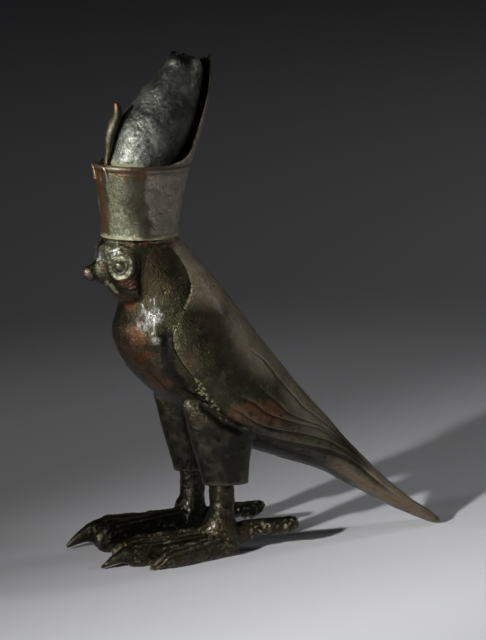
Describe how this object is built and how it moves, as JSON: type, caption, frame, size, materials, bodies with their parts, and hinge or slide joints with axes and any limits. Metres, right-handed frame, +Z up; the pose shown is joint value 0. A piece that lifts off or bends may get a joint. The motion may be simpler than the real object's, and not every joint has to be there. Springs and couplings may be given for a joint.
{
  "type": "horus falcon figure",
  "caption": "Standing cast bronze falcon wearing the double crown, a devotional figure that stands on its feet and tail tip.",
  "frame": {"origin": "on the ground, below the middle of the whole figure", "axes": "+Z up, the falcon faces -Y, its left side is +X"},
  "size_m": [0.0798, 0.2098, 0.2656],
  "materials": {
    "falcon_bronze": "dark olive-brown bronze with copper-red wear, green patina and a low gloss",
    "red_crown_bronze": "tan and copper-red bronze with grey-green patina and a low gloss",
    "white_crown_bronze": "mottled pewter grey-green bronze, nearly black at the worn top"
  },
  "bodies": {
    "root": {"falcon": "falcon_bronze", "red_crown": "red_crown_bronze", "white_crown": "white_crown_bronze"}
  },
  "joints": []
}
